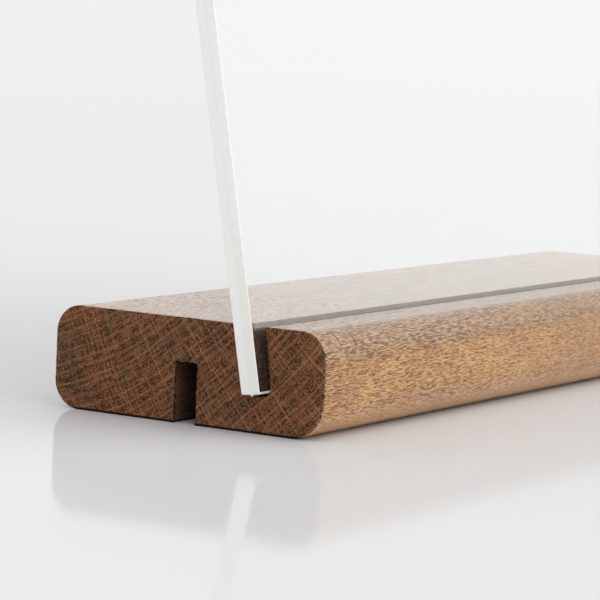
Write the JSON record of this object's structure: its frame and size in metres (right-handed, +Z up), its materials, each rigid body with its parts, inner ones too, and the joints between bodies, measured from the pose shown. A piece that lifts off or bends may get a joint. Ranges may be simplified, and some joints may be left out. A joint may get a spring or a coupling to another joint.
{
  "type": "table number holder",
  "caption": "Table number holder: a low hardwood block with a leaning slot, and a clear upright sheet that stands in it.",
  "frame": {"origin": "centre of the block's underside, on the surface it stands on, in the mouth of the underside groove", "axes": "+X along the block and its slot, -Y the front that the reader sees, +Y the way the sheet leans, +Z up"},
  "size_m": [0.1508, 0.0515, 0.2124],
  "materials": {
    "oiled_hardwood": "thin oil, satin, straight grain",
    "clear_acrylic": "clear polished faces, frosted cut edges"
  },
  "bodies": {
    "base": {"base_block": "oiled_hardwood"},
    "panel": {"acrylic_panel": "clear_acrylic"}
  },
  "joints": [
    {"name": "panel_lift", "type": "slide", "parent": "base", "child": "panel", "axis": [0, 0.19, 0.9818], "range_m": [0, 0.03]}
  ]
}
